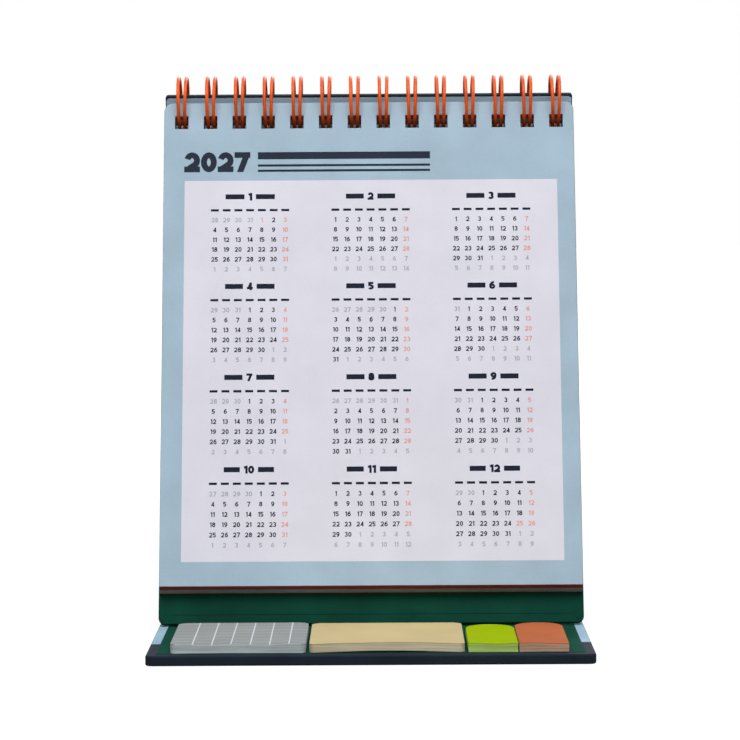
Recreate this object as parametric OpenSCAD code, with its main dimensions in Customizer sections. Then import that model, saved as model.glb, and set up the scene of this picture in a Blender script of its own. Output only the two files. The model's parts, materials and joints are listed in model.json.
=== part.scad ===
// Tent desk calendar, bound with twin-loop wire, on a base that carries sticky notes.
// Millimetres, +Z up, front towards -Y. The origin is the middle of the base's underside.

/* [Boards] */
// Width of the base, front and back boards
board_w = 121; // [116:0.5:140]
// Depth of the base, from its front edge to the rear crease
base_d = 145; // [135:0.5:160]
// Greyboard core of the base
base_core_t = 2.5; // [1.5:0.1:3]
// Greyboard core of the front and back boards
stand_core_t = 1.8; // [1.2:0.1:2]
// Covering and lining papers
paper_t = 0.2; // [0.1:0.01:0.25]
// Corner radius of the base and front boards
board_corner_r = 2; // [0.6:0.1:4]
// Radius of the back board's top corners
back_corner_r = 0.8; // [0.6:0.1:4]
// Corner radius of the lining sheets
liner_corner_r = 1; // [0.4:0.1:2]
// Covering paper left bare round a lining sheet
liner_margin = 2.8; // [1.5:0.1:5]
// How far the lining sheets stand proud of the covering paper turned in round them
liner_step = 0.1; // [0.05:0.01:0.15]
// Covering paper left bare above the back board's lining sheet
back_liner_top_margin = 0.7; // [0.5:0.1:2]
// Covering paper left bare beside the back board's lining sheet and the base's side linings
edge_margin = 0.3; // [0.3:0.1:2]
// From the base's front edge to the front ends of its side linings
side_lining_front = 20; // [10:0.5:40]
// From the rear crease to the edge of each board that meets there
crease_gap = 5; // [4.5:0.1:8]

/* [Stand] */
// From the base's front edge to the foot of the front board
flap_d = 50; // [46:0.5:60]
// Length of the front board, foot to top edge
front_l = 155.2; // [150:0.1:165]
// Lean of the front board and the leaves, degrees from upright
front_lean = 17.2; // [14:0.1:20]
// Running gap under the front board's foot
foot_gap = 0.05; // [0.02:0.01:0.2]
// From the ring axis back to the inner face of the back board
back_inset = 3.6; // [3.2:0.05:3.8]
// Back board above its row of holes
back_hole_margin = 4.95; // [4:0.05:6.5]

/* [Wire] */
// Least distance from the boards' sides to the middle of the end loops
loop_margin = 5.4; // [4:0.1:8]
// From one loop to the next
loop_pitch = 8.4667; // [8:0.0001:8.5]
// Ring radius at the middle of the wire
ring_r = 7.65; // [7.4:0.05:8]
// Wire diameter
wire_d = 1; // [0.8:0.05:1.1]
// Between the two legs of a loop at the seam, middle to middle
leg_spacing = 1.95; // [1.8:0.05:2.4]
// Lean of each leg out from the middle of its loop towards the top, in degrees
leg_splay = 1.3; // [0:0.1:2]
// Bend radius at the root of each leg
root_bend_r = 1; // [0.8:0.05:1.2]
// Half the arc, in degrees, left open between the loops' tips and roots
seam_half = 15; // [14:0.5:18]

/* [Leaves] */
// Month leaves behind the year leaf
month_count = 12; // [1:1:12]
// Leaf thickness
leaf_t = 0.27; // [0.2:0.01:0.28]
// Air between neighbouring leaves
leaf_gap = 0.02; // [0.01:0.005:0.03]
// From the boards' sides in to the sides of the leaves
leaf_inset = 0.4; // [0:0.1:2]
// Length of the leaves
leaf_l = 143.8; // [138:0.1:147]
// Radius of the leaves' top corners
leaf_corner_r = 2.5; // [0.5:0.1:5]
// From the ring axis to the face of the front leaf
leaf_offset = 4.75; // [4.6:0.05:5]
// Side of the square binding holes
hole_side = 4; // [3.8:0.05:4.4]
// Leaf and front board above their rows of holes
hole_margin = 3.9; // [3:0.1:4]
// Clearance between the wire and the hole's edge that it bears on
wire_clear = 0.1; // [0.05:0.01:0.15]

/* [Pads] */
// Height of a pad with its top sheet
pad_t = 2.3; // [1.5:0.1:3]
// Top sheet of a pad
sheet_t = 0.2; // [0.1:0.01:0.3]
// Air under a top sheet
sheet_gap = 0.02; // [0.01:0.005:0.05]
// From the base's front edge to the pads
pad_front = 3.6; // [3:0.1:6]
// From the base's left edge to the first pad
pad_left = 6.5; // [4:0.1:7]
// Gap between neighbouring pads
pad_gap = 1; // [0.3:0.1:1.2]
// Gap between the two flag pads
flag_gap = 0.4; // [0.2:0.1:0.6]
// Width of the grid note pad
grid_note_w = 36.5; // [30:0.5:37]
// Depth of the grid note pad
grid_note_d = 39; // [30:0.5:39.5]
// Width of the cream note pad
cream_note_w = 41.8; // [34:0.1:42.5]
// Depth of the cream note pad
cream_note_d = 37.6; // [30:0.1:39]
// Width of a flag pad
flag_w = 13.3; // [11:0.1:13.6]
// Depth of the green flag pad, with its arched end
green_flag_d = 34; // [28:0.5:39]
// Depth of the terracotta flag pad, with its arched end
terracotta_flag_d = 37; // [28:0.5:39]
// Radius of the note pads' rear corners
note_corner_r = 3; // [1:0.1:5]
// Radius of the note pads' front corners
note_front_corner_r = 1; // [0.5:0.1:3]

/* [Hidden] */
$fn = 96;
EPS = 0.01;
cut_over = 1;
base_t = base_core_t + 2 * paper_t;
stand_t = stand_core_t + 2 * paper_t;
base_front = -base_d / 2;
crease_y = base_d / 2;
crease_setback = 0.3;
base_rear = crease_y - crease_gap;
leaf_w = board_w - 2 * leaf_inset;
loop_count = floor((board_w - 2 * loop_margin) / loop_pitch) + 1;
wire_r = wire_d / 2;
ring_inner_r = ring_r - wire_r;
ring_outer_r = ring_r + wire_r;
seam_rise = ring_r * sin(seam_half);
tip_spacing = leg_spacing + 2 * seam_rise * sin(leg_splay);
root_spacing = leg_spacing - 2 * seam_rise * sin(leg_splay);
root_start = root_spacing / 2 + root_bend_r;
joint_trim = 0.04;
knuckle_swell = 0.04;

// Offsets along the front board's normal, from the ring axis towards the front
leaf_pitch = leaf_t + leaf_gap;
front_face = leaf_offset - (month_count + 1) * leaf_pitch;
front_rear = front_face - stand_t;

// Heights along the front board, from the ring axis upwards
front_hole_low = -ring_outer_r - wire_clear;
front_top = front_hole_low + hole_side + hole_margin;
front_foot = front_top - front_l;

// The ring axis, from where the front board's rear lower edge stands on the base
foot_y = base_front + flap_d;
foot_z = base_t + foot_gap + stand_t * sin(front_lean);
ring_y = foot_y - front_foot * sin(front_lean) + front_face * cos(front_lean);
ring_z = foot_z - front_foot * cos(front_lean) - front_face * sin(front_lean);

// The back board's outer face passes through the rear crease
back_rear = -back_inset - stand_t;
crease_run = crease_y - ring_y;
crease_dist = sqrt(crease_run * crease_run + ring_z * ring_z);
back_lean = atan(crease_run / ring_z) - asin(-back_rear / crease_dist);
back_foot = -sqrt(crease_dist * crease_dist - back_rear * back_rear);
back_low = back_foot + crease_gap;
back_hole_low = -sqrt(ring_outer_r * ring_outer_r - back_inset * back_inset) - wire_clear;
back_top = back_hole_low + hole_side + back_hole_margin;

// Pads, from left to right on the base's lining
pad_y = base_front + pad_front;
block_t = pad_t - sheet_t - sheet_gap;
grid_note_x = -board_w / 2 + pad_left;
cream_note_x = grid_note_x + grid_note_w + pad_gap;
green_flag_x = cream_note_x + cream_note_w + pad_gap;
terracotta_flag_x = green_flag_x + flag_w + flag_gap;

NAVY = [0.13, 0.16, 0.21];
GREEN = [0.08, 0.23, 0.19];
LIGHT_BLUE = [0.64, 0.73, 0.79];
GREYBOARD = [0.56, 0.52, 0.47];
COPPER = [0.85, 0.33, 0.12];
MONTH_WHITE = [0.88, 0.87, 0.9];
GRID_GREY = [0.6, 0.62, 0.61];
CREAM = [0.8, 0.73, 0.56];
LIME = [0.52, 0.72, 0.2];
TERRACOTTA = [0.68, 0.38, 0.25];

function month_name(i) = str("month_leaf_", i < 10 ? "0" : "", i);

// Frames with +Y up along a board and +Z out of the face that looks to the front

module on_front() {
    translate([0, ring_y, ring_z]) rotate([90 - front_lean, 0, 0]) children();
}

module on_back() {
    translate([0, ring_y, ring_z]) rotate([90 + back_lean, 0, 0]) children();
}

// Outlines and plates, with Y from low to high and Z from z0 to z1

module outline(w, low, high, r_low, r_high) {
    difference() {
        translate([-w / 2, low]) square([w, high - low]);
        for (side = [-1, 1]) {
            if (r_low > 0) corner_cut(side * w / 2, low, r_low, side, -1);
            if (r_high > 0) corner_cut(side * w / 2, high, r_high, side, 1);
        }
    }
}

// The waste outside a corner of radius r at the point x, y
module corner_cut(x, y, r, side_x, side_y) {
    difference() {
        translate([x - side_x * r / 2 + side_x * EPS, y - side_y * r / 2 + side_y * EPS])
            square(r + 2 * EPS, center = true);
        translate([x - side_x * r, y - side_y * r]) circle(r);
    }
}

module plate(w, low, high, z0, z1, r_low = 0, r_high = 0) {
    translate([0, 0, z0]) linear_extrude(z1 - z0) outline(w, low, high, r_low, r_high);
}

// The row of square holes, lowest edge at low, cut from z0 to z1
module hole_row(low, z0, z1) {
    translate([0, low, z0 - cut_over]) linear_extrude(z1 - z0 + 2 * cut_over) hole_squares();
}

module hole_squares() {
    for (i = [0 : loop_count - 1])
        translate([loop_x(i) - hole_side / 2, 0]) square(hole_side);
}

function loop_x(i) = (i - (loop_count - 1) / 2) * loop_pitch;

// Base

module base_core_plate(extra = 0) {
    plate(board_w - 2 * paper_t, base_front + paper_t, base_rear + extra,
        paper_t, base_t - paper_t, board_corner_r - paper_t);
}

module base_liner_plate(extra = 0) {
    plate(board_w - 2 * liner_margin, base_front + liner_margin, base_rear + extra,
        base_t - paper_t, base_t + extra, liner_corner_r);
}

module base_core() {
    color(GREYBOARD) base_core_plate();
}

module base_wrap() {
    color(NAVY) {
        difference() {
            plate(board_w, base_front, base_rear, 0, base_t - liner_step, board_corner_r);
            base_core_plate(cut_over);
            base_liner_plate(cut_over);
        }
        plate(board_w, base_rear - cut_over, crease_y - crease_setback, 0, paper_t);
    }
}

module base_liner() {
    color(GREEN) base_liner_plate();
}

// A strip of lining on the covering paper along each side, flush with the lining between them
module base_side_linings() {
    strip_w = liner_margin - edge_margin;
    strip_front = base_front + side_lining_front;
    color(LIGHT_BLUE) for (side = [-1, 1])
        translate([side * (board_w / 2 - liner_margin + strip_w / 2), 0, 0])
            plate(strip_w, strip_front, base_rear, base_t - liner_step, base_t);
}

// Back board

module back_core_plate(extra = 0) {
    plate(board_w - 2 * paper_t, back_low - extra, back_top - paper_t,
        back_rear + paper_t, -back_inset - paper_t, 0, back_corner_r - paper_t);
}

module back_liner_plate(extra = 0) {
    plate(board_w - 2 * edge_margin, back_low - extra, back_top - back_liner_top_margin,
        -back_inset - paper_t, -back_inset + extra, 0, liner_corner_r);
}

module back_holes() {
    hole_row(back_hole_low, back_rear, -back_inset);
}

module back_core() {
    color(GREYBOARD) on_back() difference() {
        back_core_plate();
        back_holes();
    }
}

module back_wrap() {
    color(NAVY) on_back() {
        difference() {
            plate(board_w, back_low, back_top, back_rear, -back_inset - liner_step, 0, back_corner_r);
            back_core_plate(cut_over);
            back_liner_plate(cut_over);
            back_holes();
        }
        plate(board_w, back_foot + crease_setback, back_low + cut_over, back_rear, back_rear + paper_t);
    }
}

module back_liner() {
    color(LIGHT_BLUE) on_back() difference() {
        back_liner_plate();
        back_holes();
    }
}

// Front board

module front_core_plate() {
    plate(board_w - 2 * paper_t, front_foot + paper_t, front_top - paper_t,
        front_rear + paper_t, front_face - paper_t, board_corner_r - paper_t, board_corner_r - paper_t);
}

module front_liner_plate(extra = 0) {
    plate(board_w - 2 * liner_margin, front_foot + liner_margin, front_top - liner_margin,
        front_face - paper_t, front_face + extra, liner_corner_r, liner_corner_r);
}

module front_holes() {
    hole_row(front_hole_low, front_rear, front_face);
}

module front_core() {
    color(GREYBOARD) on_front() difference() {
        front_core_plate();
        front_holes();
    }
}

module front_wrap() {
    color(GREEN) on_front() difference() {
        plate(board_w, front_foot, front_top, front_rear, front_face - liner_step,
            board_corner_r, board_corner_r);
        front_core_plate();
        front_liner_plate(cut_over);
        front_holes();
    }
}

module front_liner() {
    color(GREEN) on_front() difference() {
        front_liner_plate();
        front_holes();
    }
}

// Twin-loop wire: one path of legs, tip bends, root bends and bars, in a frame whose XY is the ring's plane

// A stretch of wire bent to radius r, stopping just short of the points where it meets its neighbours
module bent_wire(r, angle) {
    trim = joint_trim / r * 180 / PI;
    rotate([0, 0, trim]) rotate_extrude(angle = angle - 2 * trim)
        translate([r, 0]) circle(d = wire_d, $fn = 24);
}

// The hair-thick swelling in which two stretches of wire meet
module knuckle() {
    sphere(d = wire_d + knuckle_swell, $fn = 32);
}

// Two legs round the ring, joined by the bend at their tips, with a bend out to the side at each root
module loop() {
    for (side = [-1, 1]) {
        translate([0, 0, side * leg_spacing / 2]) rotate([side * leg_splay, 0, 0]) {
            rotate([0, 0, seam_half]) bent_wire(ring_r, 360 - 2 * seam_half);
            rotate([0, 0, seam_half]) translate([ring_r, 0, 0]) knuckle();
            rotate([0, 0, -seam_half]) translate([ring_r, 0, 0]) knuckle();
        }
        rotate([0, 0, -seam_half]) translate([ring_r, 0, side * root_start]) {
            rotate([0, side * 90, 0]) bent_wire(root_bend_r, 90);
            translate([0, root_bend_r, 0]) knuckle();
        }
    }
    rotate([0, 0, seam_half]) translate([ring_r, 0, 0])
        rotate([180, -90, 0]) bent_wire(tip_spacing / 2, 180);
}

// The straight wire from this loop's root to the next one's
module root_bar() {
    rotate([0, 0, -seam_half]) translate([ring_r, root_bend_r, root_start + joint_trim])
        cylinder(h = loop_pitch - 2 * (root_start + joint_trim), d = wire_d, $fn = 24);
}

module wire_comb() {
    color(COPPER) translate([0, ring_y, ring_z]) rotate([90, 0, 90])
        for (i = [0 : loop_count - 1])
            translate([0, 0, loop_x(i)]) {
                loop();
                if (i < loop_count - 1) root_bar();
            }
}

// Leaves, counted from the year leaf in front, each hanging with its holes on the wire

function leaf_face(k) = leaf_offset - k * leaf_pitch;
function leaf_hole_high(k) = -sqrt(ring_inner_r * ring_inner_r - leaf_face(k) * leaf_face(k)) + wire_clear;
function leaf_top(k) = leaf_hole_high(k) + hole_margin;

module leaf(k) {
    on_front() difference() {
        plate(leaf_w, leaf_top(k) - leaf_l, leaf_top(k), leaf_face(k) - leaf_t, leaf_face(k),
            0, leaf_corner_r);
        hole_row(leaf_hole_high(k) - hole_side, leaf_face(k) - leaf_t, leaf_face(k));
    }
}

module year_leaf() {
    color(LIGHT_BLUE) leaf(0);
}

module month_leaf(i) {
    color(MONTH_WHITE) leaf(i);
}

// Pads and their top sheets

module note_outline(x, w, d) {
    translate([x + w / 2, pad_y]) outline(w, 0, d, note_front_corner_r, note_corner_r);
}

// A flag is straight in front and arched behind
module flag_outline(x, d) {
    translate([x, pad_y]) square([flag_w, d - flag_w / 2]);
    translate([x + flag_w / 2, pad_y + d - flag_w / 2]) circle(d = flag_w);
}

module pad_block() {
    translate([0, 0, base_t]) linear_extrude(block_t) children();
}

module top_sheet() {
    translate([0, 0, base_t + block_t + sheet_gap]) linear_extrude(sheet_t) children();
}

module grid_note_outline() { note_outline(grid_note_x, grid_note_w, grid_note_d); }
module cream_note_outline() { note_outline(cream_note_x, cream_note_w, cream_note_d); }
module green_flag_outline() { flag_outline(green_flag_x, green_flag_d); }
module terracotta_flag_outline() { flag_outline(terracotta_flag_x, terracotta_flag_d); }

module grid_note_pad() { color(GRID_GREY) pad_block() grid_note_outline(); }
module cream_note_pad() { color(CREAM) pad_block() cream_note_outline(); }
module green_flag_pad() { color(LIME) pad_block() green_flag_outline(); }
module terracotta_flag_pad() { color(TERRACOTTA) pad_block() terracotta_flag_outline(); }

module grid_note_sheet() { color(GRID_GREY) top_sheet() grid_note_outline(); }
module cream_note_sheet() { color(CREAM) top_sheet() cream_note_outline(); }
module green_flag_sheet() { color(LIME) top_sheet() green_flag_outline(); }
module terracotta_flag_sheet() { color(TERRACOTTA) top_sheet() terracotta_flag_outline(); }

base_core();
base_wrap();
base_liner();
base_side_linings();
grid_note_pad();
cream_note_pad();
green_flag_pad();
terracotta_flag_pad();
grid_note_sheet();
cream_note_sheet();
green_flag_sheet();
terracotta_flag_sheet();
back_core();
back_wrap();
back_liner();
wire_comb();
front_core();
front_wrap();
front_liner();
year_leaf();
for (i = [1 : month_count]) {
    month_leaf(i);
}
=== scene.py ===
"""The looks of a tent desk calendar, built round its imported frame. Metres, +Z up, front towards -Y."""

import datetime
import json
import math
import random

import bmesh
import bpy
import numpy as np
from mathutils import Matrix, Vector
from mathutils.geometry import delaunay_2d_cdt


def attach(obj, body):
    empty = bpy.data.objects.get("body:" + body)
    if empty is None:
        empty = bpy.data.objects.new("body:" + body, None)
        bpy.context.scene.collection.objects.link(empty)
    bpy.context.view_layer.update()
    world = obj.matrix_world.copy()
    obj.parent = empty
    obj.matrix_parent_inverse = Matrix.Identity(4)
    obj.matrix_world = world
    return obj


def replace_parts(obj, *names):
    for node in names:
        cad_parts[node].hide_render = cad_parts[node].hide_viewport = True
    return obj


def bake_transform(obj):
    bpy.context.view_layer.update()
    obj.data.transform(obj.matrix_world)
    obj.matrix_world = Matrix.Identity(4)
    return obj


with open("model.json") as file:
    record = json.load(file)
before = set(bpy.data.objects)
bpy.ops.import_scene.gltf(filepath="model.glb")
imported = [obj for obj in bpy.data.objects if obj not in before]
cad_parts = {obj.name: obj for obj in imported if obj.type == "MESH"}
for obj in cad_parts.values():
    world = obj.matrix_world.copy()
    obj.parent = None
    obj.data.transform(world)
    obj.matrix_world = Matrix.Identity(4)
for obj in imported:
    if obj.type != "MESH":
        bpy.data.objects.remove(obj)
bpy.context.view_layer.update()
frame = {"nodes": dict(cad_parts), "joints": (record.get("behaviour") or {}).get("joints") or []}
MM = 0.001
X = Vector((1, 0, 0))
Z = Vector((0, 0, 1))
TO_FRONT = Vector((0, -1, 0))

# Camera, matched to the edges of the boards in the picture
PHOTO_SIDE = 740
FOCAL_PX = 3001.7
SENSOR_MM = 36
CAMERA_PLACE = Vector((3.247, -868.283, 133.168)) * MM
CAMERA_PITCH = math.radians(-3.878)
CAMERA_YAW = math.radians(-0.215)
CAMERA_ROLL = math.radians(-0.332)
CLIP_START = 0.01

# Boards, in millimetres
PAPER_T = 0.2
FOLD_R = 0.5
FOLD_STEPS = 5
BOARD_CORNER_R = 2
BACK_CORNER_R = 0.8
CREASE_CORNER_R = 0.3
LINER_CORNER_R = 1
CREASE_R = 1.2
LINING_CLEAR = 0.05
HOLE_CLEAR = 0.5
LAP_T = 0.15
RIGHT_LAP = ((56.3, -147.2), (56.3, -149.05), (58.6, -154.4), (59.4, -154.0), (59.9, -152.9), (59.9, -147.2))
LEFT_LAP = ((-58.8, -150.0), (-59.9, -150.0), (-59.9, -153.4), (-59.3, -154.4), (-58.8, -153.0))

# Printed year page, in millimetres from the ring axis along the page
YEAR = 2027
HOLIDAYS = ((1, 1), (12, 25), (12, 26))
PRINT_T = 0.008
PANEL_LEFT, PANEL_RIGHT = -54.0, 55.0
PANEL_TOP, PANEL_BOTTOM = -25.2, -138.2
TITLE_LEFT, TITLE_RIGHT = -54.2, 17.9
TITLE_MIDDLE, TITLE_H = -19.5, 6.1
TITLE_RULE_LEFT = -32.6
TITLE_RULES = ((-17.6, 2.2), (-20.6, 0.7), (-22.2, 0.7))
BLOCK_MIDDLE = (0.4, -30.1)
BLOCK_PITCH = (35.2, -27.13)
BLOCK_COLUMNS = 3
HEADING_H, HEADING_W = 2.3, 14.4
HEADING_RULE_H, HEADING_RULE_GAP = 1.5, 1.1
WEEKDAY_DROP, WEEKDAY_W, WEEKDAY_H = 4.1, 2.3, 0.7
ROW_PITCH, COLUMN_PITCH, DATE_H = 2.97, 3.43, 1.42
WEEKS, WEEKDAYS, SUNDAY = 6, 7, 6

# Month pages: the year page's panel, with one large block
MONTH_BLOCK = (0.5, -34.5)
MONTH_SCALE = 3.9
MONTH_ROWS = 3.4

# Pads, in millimetres, and how far the ripple at the top lags behind the bottom's, in waves
PAD_LEAVES = 9
LEAF_AIR = 0.01
LEAF_SLIP = 0.05
PAD_GRID = 2.5
RIPPLE_LAG = 0.1
NOTE_FRONT_R, NOTE_REAR_R = 1.6, 3
RULING_PITCH, RULING_START = 5.2, 6.0
RULING_WIDTHS = 0.34, 0.14

# Papers and inks, as sRGB
WHITE = (255, 255, 255)
NAVY = (34, 41, 51)
GREEN = (19, 66, 53)
PAGE_BLUE = (164, 187, 203)
# Painted light: the back's lining is the same blue paper as the strips (STRIP_BLUE), made lighter to stand
# in for light that its shaded face does not get
LIGHTENED_LINING_BLUE = (184, 214, 233)
STRIP_BLUE = (143, 171, 190)
PANEL_WHITE = (219, 218, 229)
SLATE = (38, 46, 60)
INK = (25, 29, 46)
GREY_INK = (172, 172, 182)
RED_INK = (221, 158, 148)
LEAF_COLOURS = ((154, 62, 50), (126, 157, 168), (162, 148, 132), (92, 54, 44))
LEAF_COUNTS = (4, 3, 3, 2)
GREYBOARD = (96, 90, 82)
WIRE = (230, 88, 12)
GRID_GREY = (139, 143, 142)
GRID_EDGE = (196, 206, 207)
GRID_WHITE = (198, 203, 210)
CREAM = (190, 173, 128)
CREAM_EDGE = (220, 208, 178)
LIME = (146, 171, 0)
LIME_EDGE = (190, 222, 120)
TERRACOTTA = (172, 96, 58)
TERRACOTTA_EDGE = (214, 174, 150)

# Grain of the finishes: features a metre, shades, shares and, for the fibres' depth, millimetres
CLOUDS, FIBRES = 70, 1800
FIBRE_STRETCH = (1, 2.5, 1)
FIBRE_SHADE = (205, 205, 208)
FIBRE_DEPTH = 0.05
ROUGHNESS_SPREAD = 0.06
LAYER_STREAKS = (50, 50, 3200)
WIRE_STREAKS, WIRE_SPECKS = 260, 2600
WIRE_TONES = 0.9, 1.08
WIRE_DUST, WIRE_DUST_SHARE = (214, 206, 200), 0.35
WIRE_ROUGHNESS = 0.34, 0.48
WIRE_SPECULAR = 0.25

# Stage: lengths in metres, the grey as sRGB, shares, and each lamp's name, place, side and watts
FLOOR_HALF, FLOOR_DROP = 4, 0.05 * MM
FLOOR_GREY, FLOOR_ROUGHNESS = (96, 96, 96), 0.9
FLOOR_GLOW, FLOOR_VEIL = 0.8, 0.25
SHADOW_REACH = 0.3, 1.0
HORIZON_LIGHT, OVERHEAD_LIGHT = 0.02, 0.35
OBJECT_MIDDLE = Vector((0, 0, 0.07))
LAMPS = (
    ("key_light", (-0.3, -0.85, 1.65), 0.8, 21.5),
    ("fill_light", (0.5, -0.85, 1.6), 0.8, 13),
    ("front_light", (0.2, -1.3, 0.75), 0.6, 2.4),
    ("rear_light", (0.2, 1.2, 0.9), 0.8, 9),
)


def linear(colour):
    """An sRGB colour of 0 to 255 as the linear RGBA that shaders take."""
    share = [c / 255 for c in colour]
    return (*[c / 12.92 if c <= 0.04045 else ((c + 0.055) / 1.055) ** 2.4 for c in share], 1)


def shaded(colour, factor):
    return tuple(min(255, c * factor) for c in colour)


# Materials


def shader(name):
    """A new material with its node maker, its linker and its Principled node."""
    material = bpy.data.materials.new(name)
    material.use_nodes = True
    tree = material.node_tree
    return material, tree.nodes.new, tree.links.new, tree.nodes["Principled BSDF"]


def noise(make, link, place, scale, detail, stretch=(1, 1, 1)):
    """A noise of so many features a metre, in the piece's own coordinates."""
    mapping = make("ShaderNodeMapping")
    mapping.inputs["Scale"].default_value = stretch
    link(place, mapping.inputs["Vector"])
    texture = make("ShaderNodeTexNoise")
    texture.inputs["Scale"].default_value = scale
    texture.inputs["Detail"].default_value = detail
    link(mapping.outputs["Vector"], texture.inputs["Vector"])
    return texture.outputs["Fac"]


def between(make, link, factor, low, high, start=0.3, end=0.7):
    """A colour that runs from low to high as factor runs from start to end."""
    ramp = make("ShaderNodeValToRGB")
    ramp.color_ramp.elements[0].position = start
    ramp.color_ramp.elements[1].position = end
    ramp.color_ramp.elements[0].color = linear(low)
    ramp.color_ramp.elements[1].color = linear(high)
    link(factor, ramp.inputs["Fac"])
    return ramp.outputs["Color"]


def multiply(make, link, colour, other, share):
    mix = make("ShaderNodeMix")
    mix.data_type = "RGBA"
    mix.blend_type = "MULTIPLY"
    mix.inputs["Factor"].default_value = share
    link(colour, mix.inputs["A"])
    link(other, mix.inputs["B"])
    return mix.outputs["Result"]


def line(make, link, value, start, pitch, width):
    """1 on each line of a ruling from its start on, in millimetres, and 0 between the lines."""
    steps = ("SUBTRACT", start), ("MAXIMUM", -pitch / 2), ("PINGPONG", pitch / 2), ("LESS_THAN", width / 2)
    for operation, number in steps:
        step = make("ShaderNodeMath")
        step.operation = operation
        link(value, step.inputs[0])
        step.inputs[1].default_value = number * MM
        value = step.outputs["Value"]
    return value


def ruled(colour, corner):
    """A pattern of lines both ways, counted from a corner."""

    def add(make, link, place, tone):
        split = make("ShaderNodeSeparateXYZ")
        link(place, split.inputs["Vector"])
        for axis, start, width in zip("XY", corner, RULING_WIDTHS):
            mix = make("ShaderNodeMix")
            mix.data_type = "RGBA"
            link(line(make, link, split.outputs[axis], start, RULING_PITCH, width), mix.inputs["Factor"])
            link(tone, mix.inputs["A"])
            mix.inputs["B"].default_value = linear(colour)
            tone = mix.outputs["Result"]
        return tone

    return add


def layered(depth):
    """A pattern of paper edges: thin level streaks that darken to a share of the tone."""

    def add(make, link, place, tone):
        streaks = noise(make, link, place, 1, 2, LAYER_STREAKS)
        shade = between(make, link, streaks, shaded(WHITE, depth), WHITE, 0.35, 0.6)
        return multiply(make, link, tone, shade, 1)

    return add


def paper(name, colour, mottle=0.05, fibre=0.12, roughness=0.72, grain=0.12, specular=0.1, pattern=None):
    """Paper: broad clouds of tone, fine fibres in the colour and the relief, and any pattern on it."""
    material, make, link, surface = shader(name)
    place = make("ShaderNodeTexCoord").outputs["Object"]
    clouds = noise(make, link, place, CLOUDS, 4)
    fibres = noise(make, link, place, FIBRES, 6, FIBRE_STRETCH)
    tone = between(make, link, clouds, shaded(colour, 1 - mottle), shaded(colour, 1 + mottle))
    if pattern:
        tone = pattern(make, link, place, tone)
    threads = between(make, link, fibres, FIBRE_SHADE, WHITE)
    link(multiply(make, link, tone, threads, fibre), surface.inputs["Base Color"])
    bump = make("ShaderNodeBump")
    bump.inputs["Strength"].default_value = grain
    bump.inputs["Distance"].default_value = FIBRE_DEPTH * MM
    link(fibres, bump.inputs["Height"])
    link(bump.outputs["Normal"], surface.inputs["Normal"])
    rough = make("ShaderNodeMapRange")
    rough.inputs["To Min"].default_value = roughness - ROUGHNESS_SPREAD
    rough.inputs["To Max"].default_value = roughness + ROUGHNESS_SPREAD
    link(clouds, rough.inputs["Value"])
    link(rough.outputs["Result"], surface.inputs["Roughness"])
    surface.inputs["Specular IOR Level"].default_value = specular
    return material


def enamel(name, colour):
    """Lacquered wire: a satin coat whose colour thickens and thins along the wire."""
    material, make, link, surface = shader(name)
    place = make("ShaderNodeTexCoord").outputs["Object"]
    streaks = noise(make, link, place, WIRE_STREAKS, 3)
    specks = noise(make, link, place, WIRE_SPECKS, 2)
    tone = between(make, link, streaks, *[shaded(colour, share) for share in WIRE_TONES])
    dust = between(make, link, specks, WIRE_DUST, WHITE, 0.2, 0.5)
    link(multiply(make, link, tone, dust, WIRE_DUST_SHARE), surface.inputs["Base Color"])
    rough = make("ShaderNodeMapRange")
    rough.inputs["To Min"].default_value, rough.inputs["To Max"].default_value = WIRE_ROUGHNESS
    link(specks, rough.inputs["Value"])
    link(rough.outputs["Result"], surface.inputs["Roughness"])
    surface.inputs["Specular IOR Level"].default_value = WIRE_SPECULAR
    return material


# Frames on the faces


def joint_place(name):
    return Vector(next(j["pos_m"] for j in frame["joints"] if j["name"] == name))


RING = joint_place("front_close")
CREASE = joint_place("back_fold")


class Face:
    """A flat frame: x to the right, u up along the face and n out of it, in millimetres from an origin."""

    def __init__(self, origin, out):
        self.origin = origin
        self.out = out
        self.up = out.cross(X)

    def at(self, x, u, n):
        return self.origin + (x * X + u * self.up + n * self.out) * MM

    def corners(self, node):
        """Each vertex of a node as x, u and n."""
        places = np.array([v.co - self.origin for v in frame["nodes"][node].data.vertices])
        return places @ np.array((X, self.up, self.out)).T / MM

    def span(self, node):
        """Lowest and highest x, u and n of a node."""
        corners = self.corners(node)
        return corners.min(0).tolist(), corners.max(0).tolist()


FACING_COSINE = 0.5


def facing(node):
    """The way that a node's largest face towards the front looks."""
    faces = [f for f in frame["nodes"][node].data.polygons if f.normal.dot(TO_FRONT) > FACING_COSINE]
    return max(faces, key=lambda f: f.area).normal.normalized()


page = Face(RING, facing("year_leaf"))
front = Face(RING, facing("front_liner"))
back = Face(RING, facing("back_liner"))
base = Face(Vector(), Z)

# Outlines: radii in millimetres and arc steps in degrees

ALL_TRIANGLES = 0
NEAR = 1e-5
JOIN_DIST = 1e-4 * MM
SMOOTH_ANGLE = math.radians(32)
LEAST_R = 0.05
CORNER_STEP, FLAG_STEP, CREASE_STEP = 15, 12, 8


def rectangle(left, right, low, high):
    return [(left, low), (right, low), (right, high), (left, high)]


def arc(x, u, rx, ru, start, end, step):
    """Points on an ellipse from one angle to another, in degrees."""
    count = max(2, math.ceil(abs(end - start) / step))
    turns = [math.radians(start + (end - start) * i / count) for i in range(count + 1)]
    return [(x + rx * math.cos(a), u + ru * math.sin(a)) for a in turns]


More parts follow.
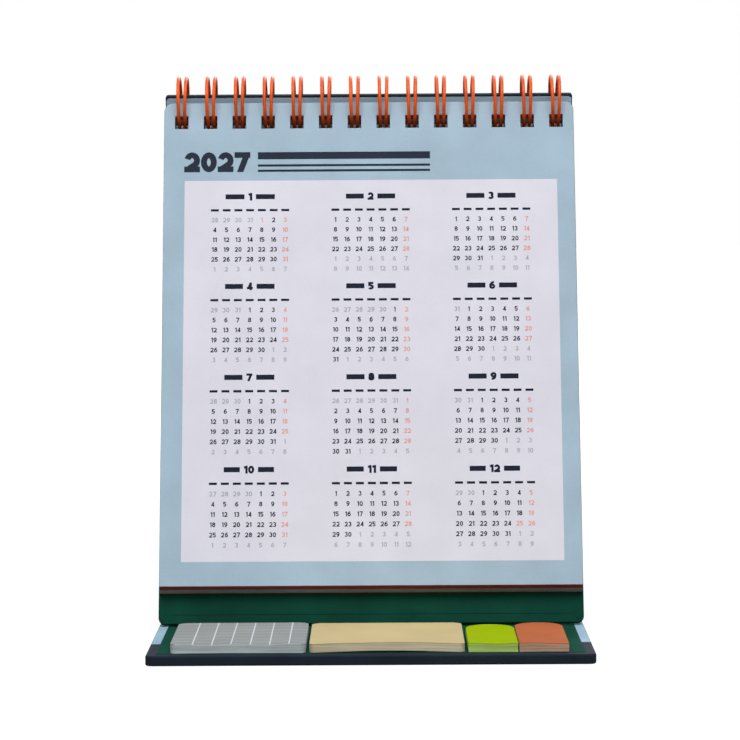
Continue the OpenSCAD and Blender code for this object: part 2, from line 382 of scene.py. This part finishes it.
def rounded(left, right, low, high, r_low, r_high):
    """A rectangle with rounded corners, anticlockwise."""
    r_low, r_high = max(r_low, LEAST_R), max(r_high, LEAST_R)
    return [
        *arc(left + r_low, low + r_low, r_low, r_low, 180, 270, CORNER_STEP),
        *arc(right - r_low, low + r_low, r_low, r_low, 270, 360, CORNER_STEP),
        *arc(right - r_high, high - r_high, r_high, r_high, 0, 90, CORNER_STEP),
        *arc(left + r_high, high - r_high, r_high, r_high, 90, 180, CORNER_STEP),
    ]


def note_outline(left, right, low, high):
    return rounded(left, right, low, high, NOTE_FRONT_R, NOTE_REAR_R)


def flag_outline(left, right, low, high):
    """Straight in front and arched behind."""
    r = (right - left) / 2
    return [(left, low), (right, low), *arc(left + r, high - r, r, r, 0, 180, FLAG_STEP)]


def divided(outline, step):
    """An outline with its points no further apart than a step."""
    points = []
    for (ax, au), (bx, bu) in zip(outline, outline[1:] + outline[:1]):
        count = math.ceil(math.hypot(bx - ax, bu - au) / step)
        points += [(ax + (bx - ax) * i / count, au + (bu - au) * i / count) for i in range(count)]
    return points


def rims_of(fills):
    """The edges that only one of a set of faces has."""
    sides = {(a, b) for f in fills for a, b in zip(f, f[1:] + f[:1])}
    return sorted((a, b) for a, b in sides if (b, a) not in sides)


def filled(outline, openings=(), inner=()):
    """Points, triangles and rims of a flat outline with openings, through any inner points."""
    points, loops = [], []
    for loop in (outline, *openings):
        loops.append(list(range(len(points), len(points) + len(loop))))
        points += loop
    flat = [Vector(p) for p in (*points, *inner)]
    places, _, fills, _, _, sources = delaunay_2d_cdt(flat, [], loops, ALL_TRIANGLES, NEAR)
    fills = [f for f, source in zip(fills, sources) if source == [0]]
    return [tuple(p) for p in places], fills, rims_of(fills)


def inner_points(outline, step):
    """Points of a square grid that lie well inside a convex outline."""
    xs, us = zip(*outline)

    def inside(x, u):
        for (ax, au), (bx, bu) in zip(outline, outline[1:] + outline[:1]):
            if (bx - ax) * (u - au) - (bu - au) * (x - ax) < step / 3 * math.hypot(bx - ax, bu - au):
                return False
        return True

    columns = np.arange(min(xs) + step / 2, max(xs), step).tolist()
    rows = np.arange(min(us) + step / 2, max(us), step).tolist()
    return [(x, u) for x in columns for u in rows if inside(x, u)]


def holes(face, node):
    """The square holes of a node, from the corners that lie well inside its outline."""
    low, high = face.span(node)
    margin = BOARD_CORNER_R + HOLE_CLEAR
    inside = [
        (x, u)
        for x, u, _ in face.corners(node).tolist()
        if low[0] + margin < x < high[0] - margin and low[1] + margin < u < high[1] - margin
    ]
    if not inside:
        return []
    sides = sorted({round(x, 2) for x, _ in inside})
    bottom, top = min(u for _, u in inside), max(u for _, u in inside)
    return [rectangle(a, b, bottom, top) for a, b in zip(sides[0::2], sides[1::2])]


# Mesh building


class Build:
    """Gathers closed solids in a face's frame into one mesh of one or more materials."""

    def __init__(self, face):
        self.face = face
        self.verts = []
        self.faces = []
        self.indices = []

    def points(self, outline, n, lift=None):
        """Adds an outline at a height, raised by lift where that is given, and returns its indices."""
        first = len(self.verts)
        for x, u in outline:
            self.verts.append(self.face.at(x, u, n + lift(x, u, n) if lift else n))
        return list(range(first, len(self.verts)))

    def add(self, corners, index=0):
        self.faces.append(corners)
        self.indices.append(index)

    def band(self, lower, upper):
        """The faces between two rings of as many points."""
        for i in range(len(lower)):
            self.add([lower[i - 1], lower[i], upper[i], upper[i - 1]])

    def sheet(self, outline, openings, n):
        """A flat face of an outline with openings."""
        points, fills, _ = filled(outline, openings)
        places = self.points(points, n)
        for corners in fills:
            self.add([places[i] for i in corners])

    def shell(self, plan, low, high, index=0, lift=None, top_index=None):
        """A plate of a filled plan, from one height to another. Its top can have a material of its own."""
        if top_index is None:
            top_index = index
        points, fills, rims = plan
        lower = self.points(points, low, lift)
        upper = self.points(points, high, lift)
        for corners in fills:
            self.add([lower[i] for i in reversed(corners)], index)
            self.add([upper[i] for i in corners], top_index)
        for a, b in rims:
            self.add([lower[a], lower[b], upper[b], upper[a]], index)

    def prism(self, outline, low, high, index=0):
        """A plate of a convex outline."""
        ring = list(range(len(outline)))
        self.shell((outline, [ring], list(zip(ring, ring[1:] + ring[:1]))), low, high, index)

    def piece(self, name, materials, slot):
        """The mesh as an object, with doubled points joined and every face looking outwards."""
        mesh = bpy.data.meshes.new(name)
        mesh.from_pydata(self.verts, [], self.faces)
        mesh.polygons.foreach_set("material_index", self.indices)
        for material in materials:
            mesh.materials.append(material)
        work = bmesh.new()
        work.from_mesh(mesh)
        bmesh.ops.remove_doubles(work, verts=work.verts, dist=JOIN_DIST)
        bmesh.ops.recalc_face_normals(work, faces=work.faces)
        work.to_mesh(mesh)
        work.free()
        mesh.shade_smooth()
        mesh.set_sharp_from_angle(angle=SMOOTH_ANGLE)
        obj = bpy.data.objects.new(name, mesh)
        bpy.context.scene.collection.objects.link(obj)
        obj.modifiers.new("flat_normals", "WEIGHTED_NORMAL").keep_sharp = True
        return obj


# Covered boards


def cover(name, face, r_low, r_high, material, slot):
    """A board's covering paper, folded round the core's edges and turned in round the lining sheet."""
    (left, foot, core_low), (right, top, core_high) = face.span(f"{name}_core")
    (lining_left, lining_foot, _), (lining_right, lining_top, _) = face.span(f"{name}_liner")
    bottom = core_low - PAPER_T
    turned = face.span(f"{name}_wrap")[1][2]
    punched = holes(face, f"{name}_core")
    edge = FOLD_R - PAPER_T + LINING_CLEAR

    def outline(inset):
        """The outer outline, moved in from the paper's outside."""
        inset -= PAPER_T
        shape = (left + inset, right - inset, foot + inset, top - inset)
        return rounded(*shape, r_low - inset - PAPER_T, r_high - inset - PAPER_T)

    window = rounded(
        max(lining_left, left + edge),
        min(lining_right, right - edge),
        max(lining_foot, foot + edge),
        min(lining_top, top - edge),
        LINER_CORNER_R,
        LINER_CORNER_R,
    )
    turns = [math.pi / 2 * i / FOLD_STEPS for i in range(FOLD_STEPS + 1)]
    folds = [(FOLD_R * (1 - math.sin(a)), FOLD_R * (1 - math.cos(a))) for a in turns]
    rings = [(inset, bottom + rise) for inset, rise in folds]
    rings += [(inset, turned - rise) for inset, rise in reversed(folds)]
    build = Build(face)
    places = [build.points(outline(inset), n) for inset, n in rings]
    for lower, upper in zip(places, places[1:]):
        build.band(lower, upper)
    build.sheet(outline(FOLD_R), punched, bottom)
    build.sheet(outline(FOLD_R), [window], turned)
    build.band(build.points(window, core_high), build.points(window, turned))
    cavity = outline(PAPER_T)
    build.sheet(cavity, [window], core_high)
    build.band(build.points(cavity, core_low), build.points(cavity, core_high))
    build.sheet(cavity, punched, core_low)
    for hole in punched:
        build.band(build.points(hole, bottom), build.points(hole, core_low))
    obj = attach(build.piece(f"{name}_cover", [material], slot), name)
    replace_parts(obj, f"{name}_wrap")


def crease_paper(material, slot):
    """Covering paper round the rear crease, from the base's underside to the back board's outer face."""
    (left, _, _), (right, base_end, _) = base.span("base_core")
    (_, back_end, outer), _ = back.span("back_core")
    start = Vector((base_end + PAPER_T - FOLD_R, 0))
    corner = CREASE.yz / MM
    finish = (back.at(0, back_end - PAPER_T + FOLD_R, outer - PAPER_T) / MM).yz
    along, away = (corner - start).normalized(), (finish - corner).normalized()
    turn = along.angle(away)
    reach = CREASE_R * math.tan(turn / 2)
    middle = corner - along * reach + Vector((0, CREASE_R))
    bend = arc(middle.x, middle.y, CREASE_R, CREASE_R, -90, -90 + math.degrees(turn), CREASE_STEP)
    path = [start, start.lerp(Vector(bend[0]), 0.5)]
    path += [Vector(p) for p in bend]
    path += [path[-1].lerp(finish, 0.5), finish]
    build = Build(base)
    sections = []
    for i, point in enumerate(path):
        way = (path[min(i + 1, len(path) - 1)] - path[max(i - 1, 0)]).normalized()
        inner = point + Vector((-way.y, way.x)) * PAPER_T
        first = len(build.verts)
        for y, z in (point, inner):
            build.verts += [Vector((x, y, z)) * MM for x in (left - PAPER_T, right + PAPER_T)]
        sections.append([first, first + 1, first + 3, first + 2])
    for near, far in zip(sections, sections[1:]):
        build.band(near, far)
    build.add(sections[0])
    build.add(sections[-1])
    obj = build.piece("crease_paper", [material], slot)
    obj.modifiers.clear()
    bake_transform(obj)


def corner_laps(material, slot):
    """The tapered ends of the front board's side turn-ins, lying over the turn-in along its foot."""
    n = front.span("front_wrap")[1][2]
    build = Build(front)
    for lap in (RIGHT_LAP, LEFT_LAP):
        build.prism(lap, n - PAPER_T / 2, n + LAP_T)
    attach(build.piece("corner_laps", [material], slot), "front")


# Numerals


def stroke(points, weight):
    """A stroke of one weight along a line of points: one quad for each step."""
    points = [Vector(p) for p in points]
    closed = (points[0] - points[-1]).length < NEAR
    sides = []
    for i, point in enumerate(points):
        before = points[i - 1] if i else points[-2] if closed else None
        after = points[i + 1] if i + 1 < len(points) else points[1] if closed else None
        ways = [(point - before).normalized()] if before else []
        ways += [(after - point).normalized()] if after else []
        way = (ways[0] + ways[-1]).normalized()
        across = Vector((-way.y, way.x)) * weight / 2 / way.dot(ways[0])
        sides.append((point - across, point + across))
    return [(a[0], b[0], b[1], a[1]) for a, b in zip(sides, sides[1:])]


def slant(top, bottom, weight):
    """A sloping stroke with level ends."""
    (x0, u0), (x1, u1) = top, bottom
    half = weight / 2 * math.hypot(x1 - x0, u1 - u0) / (u0 - u1)
    corners = ((x1 - half, u1), (x1 + half, u1), (x0 + half, u0), (x0 - half, u0))
    return [tuple(Vector(c) for c in corners)]


def joined(quads):
    """Points, triangles and rims of the area that a set of quads covers."""
    corners = [corner for quad in quads for corner in quad]
    faces = [list(range(i, i + 4)) for i in range(0, len(corners), 4)]
    places, _, fills, _, _, sources = delaunay_2d_cdt(corners, [], faces, ALL_TRIANGLES, NEAR)
    fills = [f for f, source in zip(fills, sources) if source]
    return [tuple(p) for p in places], fills, rims_of(fills)


class Numerals:
    """Numerals at a height of 1, built from strokes of one weight."""

    WAIST, BOWL, SHOULDER = 0.53, 0.34, 0.27
    FLAG, CROSSBAR, STEM_FOOT = 0.76, 0.28, 0.46
    BAR_START = 0.07

    def __init__(self, width, weight, gap, step):
        self.gap = gap
        self.plans = {}
        for digit, quads in self.shapes(width, weight, step).items():
            points, fills, rims = joined(quads)
            low, high = min(x for x, _ in points), max(x for x, _ in points)
            points = [(x - low, u - 0.5) for x, u in points]
            self.plans[digit] = (points, fills, rims), high - low

    def shapes(self, width, weight, step):
        """The quads of each numeral in a box of the given width."""
        half = weight / 2
        middle, reach, top = width / 2, (width - weight) / 2, 1 - half
        upper, lower = (top - self.WAIST) / 2, (self.WAIST - half) / 2
        stem = width - weight * 0.9
        hook = middle + reach * 0.6
        bar_left = self.BAR_START * width

        def bent(x, u, rx, ru, start, end):
            return arc(x, u, rx, ru, start, end, step)

        def drawn(*lines):
            return [quad for points in lines for quad in stroke(points, weight)]

        def ring(u, rx, ru):
            return bent(middle, u, rx, ru, 0, 360)

        two = bent(middle, top - self.SHOULDER, reach, self.SHOULDER, 165, -38)
        six = drawn(
            ring(self.BOWL, reach, self.BOWL - half),
            bent(hook, self.BOWL, hook - half, top - self.BOWL, 180, 75),
        )
        return {
            "0": drawn(ring(0.5, reach, 0.5 - half)),
            "1": drawn([(middle, 0), (middle, 1)], [(middle, top), (middle - weight * 1.1, self.FLAG)]),
            "2": drawn([*two, (half * 1.1, half)], [(0, half), (width, half)]),
            "3": drawn(
                bent(middle, self.WAIST + upper, reach * 0.92, upper, 155, -90),
                bent(middle, half + lower, reach, lower, 90, -155),
            ),
            "4": drawn([(stem, 0), (stem, 1)], [(0, self.CROSSBAR), (width, self.CROSSBAR)])
            + slant((stem, 1), (weight * 0.6, self.CROSSBAR - half), weight * 0.9),
            "5": drawn(
                [(bar_left, top), (width - bar_left, top)],
                [(bar_left + half, top), (bar_left + half, self.STEM_FOOT)],
                bent(middle, self.BOWL, reach, self.BOWL - half, 125, -155),
            ),
            "6": six,
            "7": drawn([(0, top), (width, top)])
            + slant((width - half * 1.2, top), (width * 0.36, 0), weight),
            "8": drawn(ring(self.WAIST + upper, reach * 0.88, upper), ring(half + lower, reach, lower)),
            "9": [tuple(Vector((width - p.x, 1 - p.y)) for p in quad) for quad in six],
        }

    def width(self, text):
        return sum(self.plans[d][1] for d in text) + self.gap * (len(text) - 1)

    def write(self, build, text, x, u, height, n, index):
        """Sets a number with its left end at x and its middle at u."""
        for digit in text:
            (points, fills, rims), width = self.plans[digit]
            placed = [(x + a * height, u + b * height) for a, b in points]
            build.shell((placed, fills, rims), n, n + PRINT_T, index)
            x += (width + self.gap) * height


heavy_numerals = Numerals(width=0.76, weight=0.29, gap=0.045, step=12)
date_numerals = Numerals(width=0.66, weight=0.2, gap=0.1, step=30)
large_numerals = Numerals(width=0.66, weight=0.2, gap=0.1, step=12)

# Printed pages

PANEL, TITLE, DATES, NEIGHBOURS, REDS = range(5)


def bar(build, left, right, u, height, n, index):
    build.prism(rectangle(left, right, u - height / 2, u + height / 2), n, n + PRINT_T, index)


def ink_of(day, month, column):
    if day.month != month:
        return NEIGHBOURS
    if column == SUNDAY or (day.month, day.day) in HOLIDAYS:
        return REDS
    return DATES


def centred(build, font, text, x, u, height, n, index):
    font.write(build, text, x - font.width(text) * height / 2, u, height, n, index)


def month_block(build, font, month, x, u, n, scale=1.0, rows=ROW_PITCH):
    """One month: its number between two bars, a dash for each weekday and six weeks of dates."""
    height = HEADING_H * scale
    centred(build, heavy_numerals, str(month), x, u, height, n, DATES)
    clear = heavy_numerals.width(str(month)) * height / 2 + HEADING_RULE_GAP * scale
    reach = HEADING_W * scale / 2
    for left, right in ((x - reach, x - clear), (x + clear, x + reach)):
        bar(build, left, right, u, HEADING_RULE_H * scale, n, DATES)
    row = u - WEEKDAY_DROP * scale
    columns = [x + (c - (WEEKDAYS - 1) / 2) * COLUMN_PITCH * scale for c in range(WEEKDAYS)]
    dash = WEEKDAY_W * scale / 2
    for middle in columns:
        bar(build, middle - dash, middle + dash, row, WEEKDAY_H * scale, n, DATES)
    first = datetime.date(YEAR, month, 1)
    day = first - datetime.timedelta(days=first.weekday())
    for _ in range(WEEKS):
        row -= rows * scale
        for column, middle in enumerate(columns):
            ink = ink_of(day, month, column)
            centred(build, font, str(day.day), middle, row, DATE_H * scale, n, ink)
            day += datetime.timedelta(days=1)


def panelled(leaf):
    """A page's pale panel, with the height of what is printed on it."""
    n = page.span(leaf)[1][2]
    build = Build(page)
    build.prism(rectangle(PANEL_LEFT, PANEL_RIGHT, PANEL_BOTTOM, PANEL_TOP), n, n + PRINT_T, PANEL)
    return build, n + PRINT_T


def year_print(inks):
    """The year page: a title over a pale panel of twelve months."""
    build, n = panelled("year_leaf")
    heavy_numerals.write(build, str(YEAR), TITLE_LEFT, TITLE_MIDDLE, TITLE_H, n - PRINT_T, TITLE)
    for u, height in TITLE_RULES:
        bar(build, TITLE_RULE_LEFT, TITLE_RIGHT, u, height, n - PRINT_T, TITLE)
    for month in range(1, 13):
        row, column = divmod(month - 1, BLOCK_COLUMNS)
        x = BLOCK_MIDDLE[0] + (column - 1) * BLOCK_PITCH[0]
        u = BLOCK_MIDDLE[1] + row * BLOCK_PITCH[1]
        month_block(build, date_numerals, month, x, u, n)
    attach(build.piece("year_print", inks, "year_leaf_card"), "year_leaf")


def month_print(month, inks):
    """A month page: one large block on the pale panel."""
    leaf = f"month_leaf_{month:02d}"
    build, n = panelled(leaf)
    month_block(build, large_numerals, month, *MONTH_BLOCK, n, MONTH_SCALE, MONTH_ROWS)
    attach(build.piece(f"month_print_{month:02d}", inks, "month_leaf_card"), leaf)


# Pads


def pad(name, outline_of, top, edges, slot, bow, ripple, ripples):
    """A stack of leaves and its top leaf, with a bow and so many ripples along the front, in millimetres."""
    (left, near, low), (right, far, _) = base.span(f"{name}_pad")
    (_, _, sheet_low), (_, _, sheet_high) = base.span(f"{name}_sheet")
    slips = random.Random(name)

    def lift(x, u, n):
        share = (x - left) / (right - left)
        fade = max(0, 1 - (u - near) / (far - near)) ** 2
        level = (n - low) / (sheet_high - low)
        wave = math.sin(2 * math.pi * (ripples * share + level * RIPPLE_LAG))
        return fade * (bow * math.sin(math.pi * min(1, max(0, share))) + level * ripple * wave)

    def plan(dx, du):
        outline = divided(outline_of(left + dx, right + dx, near + du, far + du), PAD_GRID)
        return filled(outline, inner=inner_points(outline, PAD_GRID))

    stack = Build(base)
    step = (sheet_low - low) / PAD_LEAVES
    for i in range(PAD_LEAVES):
        slip = [slips.uniform(-LEAF_SLIP, LEAF_SLIP) for _ in range(2)]
        stack.shell(plan(*slip), low + i * step, low + (i + 1) * step - LEAF_AIR, 0, lift, 1)
    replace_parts(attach(stack.piece(f"{name}_stack", [edges, top], slot), "base"), f"{name}_pad")
    leaf = Build(base)
    leaf.shell(plan(0, 0), sheet_low, sheet_high, 0, lift)
    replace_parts(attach(leaf.piece(f"{name}_top", [top], slot), f"{name}_sheet"), f"{name}_sheet")


# Finishes

navy_paper = paper("navy_paper", NAVY, mottle=0.1, fibre=0.25, roughness=0.6, grain=0.2, specular=0.03)
green_paper = paper("green_paper", GREEN, mottle=0.08, fibre=0.25, roughness=0.66, grain=0.2, specular=0.01)
# Painted light: the back's lining paper is lightened beyond the strips' blue to stand in for light on its
# shaded face
lightened_lining_paper = paper("lightened_lining_paper", LIGHTENED_LINING_BLUE)
strip_paper = paper("strip_paper", STRIP_BLUE)
page_paper = paper("page_paper", PAGE_BLUE, mottle=0.03, fibre=0.14)
greyboard = paper("greyboard", GREYBOARD, mottle=0.12, fibre=0.5, roughness=0.85, grain=0.5, specular=0.02)
wire_enamel = enamel("wire_enamel", WIRE)
leaf_papers = [paper(f"leaf_paper_{i + 1}", c, fibre=0.15) for i, c in enumerate(LEAF_COLOURS)]
page_inks = [
    paper("panel_ink", PANEL_WHITE, mottle=0.015, fibre=0.08),
    paper("slate_ink", SLATE, mottle=0.06, fibre=0.2),
    paper("date_ink", INK, mottle=0.06, fibre=0.1),
    paper("grey_ink", GREY_INK, mottle=0.03, fibre=0.1),
    paper("red_ink", RED_INK, mottle=0.03, fibre=0.1),
]

grid_low = base.span("grid_note_pad")[0]
grid_lines = ruled(GRID_WHITE, (grid_low[0] + RULING_START, grid_low[1]))
grid_paper = paper("grid_paper", GRID_GREY, mottle=0.03, pattern=grid_lines)
cream_paper = paper("cream_paper", CREAM, mottle=0.03)
lime_paper = paper("lime_paper", LIME, mottle=0.03, specular=0.03)
terracotta_paper = paper("terracotta_paper", TERRACOTTA, mottle=0.04, specular=0.06)
grid_edges = paper("grid_edges", GRID_EDGE, mottle=0.03, pattern=layered(0.88))
cream_edges = paper("cream_edges", CREAM_EDGE, mottle=0.03, pattern=layered(0.88))
lime_edges = paper("lime_edges", LIME_EDGE, mottle=0.03, pattern=layered(0.82))
terracotta_edges = paper("terracotta_edges", TERRACOTTA_EDGE, mottle=0.04, pattern=layered(0.82))


def dress(node, material):
    """Gives a carried-over node its material."""
    mesh = frame["nodes"][node].data
    mesh.materials.clear()
    mesh.materials.append(material)


for board in ("base", "back", "front"):
    dress(f"{board}_core", greyboard)
dress("base_liner", green_paper)
dress("front_liner", green_paper)
dress("back_liner", lightened_lining_paper)
dress("base_side_linings", strip_paper)
dress("wire_comb", wire_enamel)
dress("year_leaf", page_paper)
leaf_order = [leaf for leaf, count in zip(leaf_papers, LEAF_COUNTS) for _ in range(count)]
for i, leaf_paper in enumerate(leaf_order):
    dress(f"month_leaf_{i + 1:02d}", leaf_paper)

cover("base", base, BOARD_CORNER_R, CREASE_CORNER_R, navy_paper, "navy_cover_paper")
cover("back", back, CREASE_CORNER_R, BACK_CORNER_R, navy_paper, "navy_cover_paper")
cover("front", front, BOARD_CORNER_R, BOARD_CORNER_R, green_paper, "green_cover_paper")
crease_paper(navy_paper, "navy_cover_paper")
corner_laps(green_paper, "green_cover_paper")

grid = grid_paper, grid_edges, "grey_note_paper"
cream = cream_paper, cream_edges, "cream_note_paper"
lime = lime_paper, lime_edges, "lime_flag_paper"
terracotta = terracotta_paper, terracotta_edges, "terracotta_flag_paper"
pad("grid_note", note_outline, *grid, bow=0.05, ripple=0.2, ripples=2.4)
pad("cream_note", note_outline, *cream, bow=0.5, ripple=0.05, ripples=1.5)
pad("green_flag", flag_outline, *lime, bow=0.04, ripple=0.14, ripples=1.2)
pad("terracotta_flag", flag_outline, *terracotta, bow=0.06, ripple=0.12, ripples=0.7)

year_print(page_inks)
for month in range(1, 13):
    month_print(month, page_inks)


# Stage: pale floor, soft light and the camera


def light(name, place, side, power):
    """A square soft light of so many watts that looks at the object."""
    lamp = bpy.data.lights.new(name, "AREA")
    lamp.size = side
    lamp.energy = power
    obj = bpy.data.objects.new(name, lamp)
    obj.location = place
    obj.rotation_euler = (OBJECT_MIDDLE - Vector(place)).to_track_quat("-Z", "Y").to_euler()
    bpy.context.scene.collection.objects.link(obj)


def seen_white(make, link):
    """1 for rays that should meet a white surround: the camera's, reflections and glass."""
    path = make("ShaderNodeLightPath").outputs
    last = path["Is Camera Ray"]
    for kind in ("Is Glossy Ray", "Is Transmission Ray"):
        top = make("ShaderNodeMath")
        top.operation = "MAXIMUM"
        link(last, top.inputs[0])
        link(path[kind], top.inputs[1])
        last = top.outputs[0]
    return last


def set_world():
    """A surround whose light grows from the horizon to overhead, and which looks white itself."""
    world = bpy.data.worlds.new("surround")
    bpy.context.scene.world = world
    world.use_nodes = True
    make, link = world.node_tree.nodes.new, world.node_tree.links.new
    lit = world.node_tree.nodes["Background"]
    lit.inputs["Color"].default_value = (1, 1, 1, 1)
    split = make("ShaderNodeSeparateXYZ")
    link(make("ShaderNodeTexCoord").outputs["Generated"], split.inputs["Vector"])
    rise = make("ShaderNodeMapRange")
    rise.inputs["To Min"].default_value = HORIZON_LIGHT
    rise.inputs["To Max"].default_value = OVERHEAD_LIGHT
    link(split.outputs["Z"], rise.inputs["Value"])
    link(rise.outputs["Result"], lit.inputs["Strength"])
    white = make("ShaderNodeBackground")
    white.inputs["Color"].default_value = (1, 1, 1, 1)
    mix = make("ShaderNodeMixShader")
    link(seen_white(make, link), mix.inputs["Fac"])
    link(lit.outputs[0], mix.inputs[1])
    link(white.outputs[0], mix.inputs[2])
    link(mix.outputs[0], world.node_tree.nodes["World Output"].inputs["Surface"])


def floor():
    """A pale floor that keeps the object's shadow near by and is plain white further off."""
    mesh = bpy.data.meshes.new("floor")
    outline = rectangle(-FLOOR_HALF, FLOOR_HALF, -FLOOR_HALF, FLOOR_HALF)
    corners = [(x, y, -FLOOR_DROP) for x, y in outline]
    mesh.from_pydata(corners, [], [(0, 1, 2, 3)])
    obj = bpy.data.objects.new("floor", mesh)
    bpy.context.scene.collection.objects.link(obj)
    material, make, link, surface = shader("floor")
    surface.inputs["Base Color"].default_value = linear(FLOOR_GREY)
    surface.inputs["Roughness"].default_value = FLOOR_ROUGHNESS
    distance = make("ShaderNodeVectorMath")
    distance.operation = "LENGTH"
    link(make("ShaderNodeTexCoord").outputs["Object"], distance.inputs[0])
    rise = make("ShaderNodeMapRange")
    rise.inputs["From Min"].default_value, rise.inputs["From Max"].default_value = SHADOW_REACH
    rise.inputs["To Min"].default_value = FLOOR_GLOW
    link(distance.outputs["Value"], rise.inputs["Value"])
    glow = make("ShaderNodeEmission")
    link(rise.outputs["Result"], glow.inputs["Strength"])
    veil = make("ShaderNodeBsdfDiffuse")
    veil.inputs["Color"].default_value = (FLOOR_VEIL, FLOOR_VEIL, FLOOR_VEIL, 1)
    white = make("ShaderNodeAddShader")
    link(glow.outputs[0], white.inputs[0])
    link(veil.outputs[0], white.inputs[1])
    mix = make("ShaderNodeMixShader")
    link(seen_white(make, link), mix.inputs["Fac"])
    link(surface.outputs[0], mix.inputs[1])
    link(white.outputs[0], mix.inputs[2])
    link(mix.outputs[0], material.node_tree.nodes["Material Output"].inputs["Surface"])
    mesh.materials.append(material)


def set_camera():
    """The camera that sees the object as the picture does."""
    data = bpy.data.cameras.new("camera")
    data.sensor_width = SENSOR_MM
    data.lens = FOCAL_PX * SENSOR_MM / PHOTO_SIDE
    data.clip_start = CLIP_START
    level = math.cos(CAMERA_PITCH)
    ahead = Vector((math.sin(CAMERA_YAW) * level, math.cos(CAMERA_YAW) * level, math.sin(CAMERA_PITCH)))
    right = ahead.cross(Z).normalized()
    right = Matrix.Rotation(-CAMERA_ROLL, 3, ahead) @ right
    up = right.cross(ahead)
    camera = bpy.data.objects.new("camera", data)
    turn = Matrix((right, up, -ahead)).transposed()
    camera.matrix_world = Matrix.Translation(CAMERA_PLACE) @ turn.to_4x4()
    bpy.context.scene.collection.objects.link(camera)
    bpy.context.scene.camera = camera


set_world()
for lamp_values in LAMPS:
    light(*lamp_values)
floor()
set_camera()
bpy.context.scene.view_settings.view_transform = "Standard"
